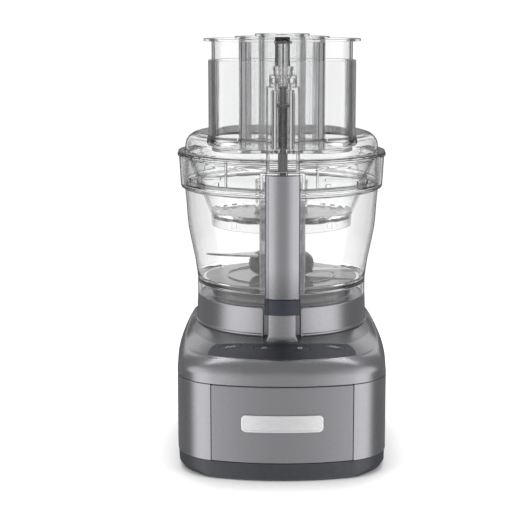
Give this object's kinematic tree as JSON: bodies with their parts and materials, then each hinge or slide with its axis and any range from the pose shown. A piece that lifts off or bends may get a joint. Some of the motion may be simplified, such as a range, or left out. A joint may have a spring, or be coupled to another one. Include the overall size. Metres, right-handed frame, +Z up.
{
  "type": "food processor",
  "caption": "Food processor with a gunmetal base, clear handled bowl with a nested inner bowl, blade, and a clear lid with a wide feed tube and nested pushers.",
  "frame": {"origin": "centre of the footprint's bounding box, on the surface the rubber feet stand on", "axes": "+Z up along the bowl axis, -Y towards the front with the handle, buttons and name plate, +X to the right seen from the front"},
  "size_m": [0.205, 0.2612, 0.4078],
  "materials": {
    "housing": "gunmetal metallic lacquer, satin gloss",
    "front_panel": "gunmetal metallic lacquer, satin",
    "name_plate": "satin silver plate, bare",
    "tray": "slate, fine moulded grain",
    "rubber": "matt",
    "screw_steel": "zinc plated",
    "control_panel": "slate, satin gloss",
    "circuit_board": "solder mask",
    "cast_bracket": "die cast",
    "motor_steel": "rolled steel",
    "bearing_steel": "ground",
    "black_plastic": "moulded",
    "white_plastic": "moulded",
    "spring_steel": "drawn wire",
    "motor_core": "laminations and copper windings",
    "shaft_steel": "ground",
    "blade_hub": "dark moulded plastic",
    "frosted_stem": "clear moulded plastic",
    "blade_steel": "stainless, ground edge",
    "clear_bowl": "clear, polished",
    "clear_lid": "clear, polished",
    "clear_pusher": "clear, polished",
    "handle": "gunmetal metallic lacquer, satin gloss",
    "handle_end": "slate, satin",
    "lid_rod": "dark grey moulded plastic"
  },
  "bodies": {
    "base": {"lower_housing": "housing", "front_panel": "front_panel", "name_plate": "name_plate", "base_tray": "tray", "rubber_feet": "rubber", "tray_screws": "screw_steel", "top_cover": "housing", "bowl_seat": "housing", "control_panel": "control_panel", "button_pad": "rubber", "control_board": "circuit_board", "motor_bracket": "cast_bracket", "bracket_screws": "screw_steel", "motor_housing": "motor_steel", "motor_bearings": "bearing_steel", "drive_belt": "rubber", "lower_bearing": "bearing_steel", "upper_bearing": "bearing_steel", "interlock_switch": "black_plastic", "cord_gland": "black_plastic", "plunger_spring": "spring_steel"},
    "switch_plunger": {"switch_plunger": "white_plastic"},
    "high_button": {"high_button": "control_panel"},
    "low_button": {"low_button": "control_panel"},
    "off_button": {"off_button": "control_panel"},
    "pulse_button": {"pulse_button": "control_panel"},
    "rotor": {"motor_rotor": "motor_core", "cooling_fan": "black_plastic", "motor_pulley": "black_plastic"},
    "drive": {"drive_shaft": "shaft_steel", "drive_pulley": "black_plastic", "blade_hub": "blade_hub", "blade_stem": "frosted_stem", "chopping_blades": "blade_steel"},
    "bowl": {"work_bowl": "clear_bowl", "bowl_handle": "handle", "handle_end_cap": "handle_end", "inner_bowl": "clear_bowl", "handle_rod_spring": "spring_steel"},
    "handle_rod": {"handle_rod": "white_plastic"},
    "lid": {"lid": "clear_lid", "feed_tube": "clear_lid", "interlock_housing": "clear_lid", "lid_rod_spring": "spring_steel"},
    "lid_rod": {"lid_rod": "lid_rod"},
    "large_pusher": {"large_pusher": "clear_pusher"},
    "medium_pusher": {"medium_pusher": "clear_pusher"},
    "small_pusher": {"small_pusher": "clear_pusher"}
  },
  "joints": [
    {"name": "drive_spin", "type": "hinge", "parent": "base", "child": "drive", "pos_m": [0, 0.0126, 0], "axis": [0, 0, 1], "continuous": true},
    {"name": "rotor_spin", "type": "hinge", "parent": "base", "child": "rotor", "pos_m": [0, 0.0866, 0], "axis": [0, 0, 1], "continuous": true},
    {"name": "bowl_twist", "type": "hinge", "parent": "base", "child": "bowl", "pos_m": [0, 0.0126, 0], "axis": [0, 0, 1], "range_deg": [-24, 0]},
    {"name": "lid_lift", "type": "slide", "parent": "bowl", "child": "lid", "axis": [0, 0, 1], "range_m": [0, 0.15]},
    {"name": "large_pusher_slide", "type": "slide", "parent": "lid", "child": "large_pusher", "axis": [0, 0, 1], "range_m": [0, 0.1]},
    {"name": "medium_pusher_slide", "type": "slide", "parent": "large_pusher", "child": "medium_pusher", "axis": [0, 0, 1], "range_m": [0, 0.1]},
    {"name": "small_pusher_slide", "type": "slide", "parent": "medium_pusher", "child": "small_pusher", "axis": [0, 0, 1], "range_m": [0, 0.1]},
    {"name": "lid_rod_press", "type": "slide", "parent": "lid", "child": "lid_rod", "axis": [0, 0, 1], "range_m": [-0.006, 0], "stiffness_N_per_m": 300, "springref_m": 0.004, "deforming": ["lid_rod_spring"]},
    {"name": "handle_rod_press", "type": "slide", "parent": "bowl", "child": "handle_rod", "axis": [0, 0, 1], "range_m": [-0.006, 0], "stiffness_N_per_m": 300, "springref_m": 0.004, "deforming": ["handle_rod_spring"]},
    {"name": "plunger_press", "type": "slide", "parent": "base", "child": "switch_plunger", "axis": [0, 0, 1], "range_m": [-0.003, 0], "stiffness_N_per_m": 300, "springref_m": 0.003, "deforming": ["plunger_spring"]},
    {"name": "high_button_press", "type": "slide", "parent": "base", "child": "high_button", "axis": [0, -0.2078, 0.9782], "range_m": [-0.0006, 0], "stiffness_N_per_m": 1500, "springref_m": 0.0006},
    {"name": "low_button_press", "type": "slide", "parent": "base", "child": "low_button", "axis": [0, -0.2078, 0.9782], "range_m": [-0.0006, 0], "stiffness_N_per_m": 1500, "springref_m": 0.0006},
    {"name": "off_button_press", "type": "slide", "parent": "base", "child": "off_button", "axis": [0, -0.2078, 0.9782], "range_m": [-0.0006, 0], "stiffness_N_per_m": 1500, "springref_m": 0.0006},
    {"name": "pulse_button_press", "type": "slide", "parent": "base", "child": "pulse_button", "axis": [0, -0.2078, 0.9782], "range_m": [-0.0006, 0], "stiffness_N_per_m": 1500, "springref_m": 0.0006}
  ],
  "couplings": [
    {"joint": "rotor_spin", "follows": "drive_spin", "ratio": 5.5556},
    {"joint": "handle_rod_press", "follows": "lid_rod_press", "ratio": 1},
    {"joint": "plunger_press", "follows": "lid_rod_press", "ratio": 0.5}
  ]
}
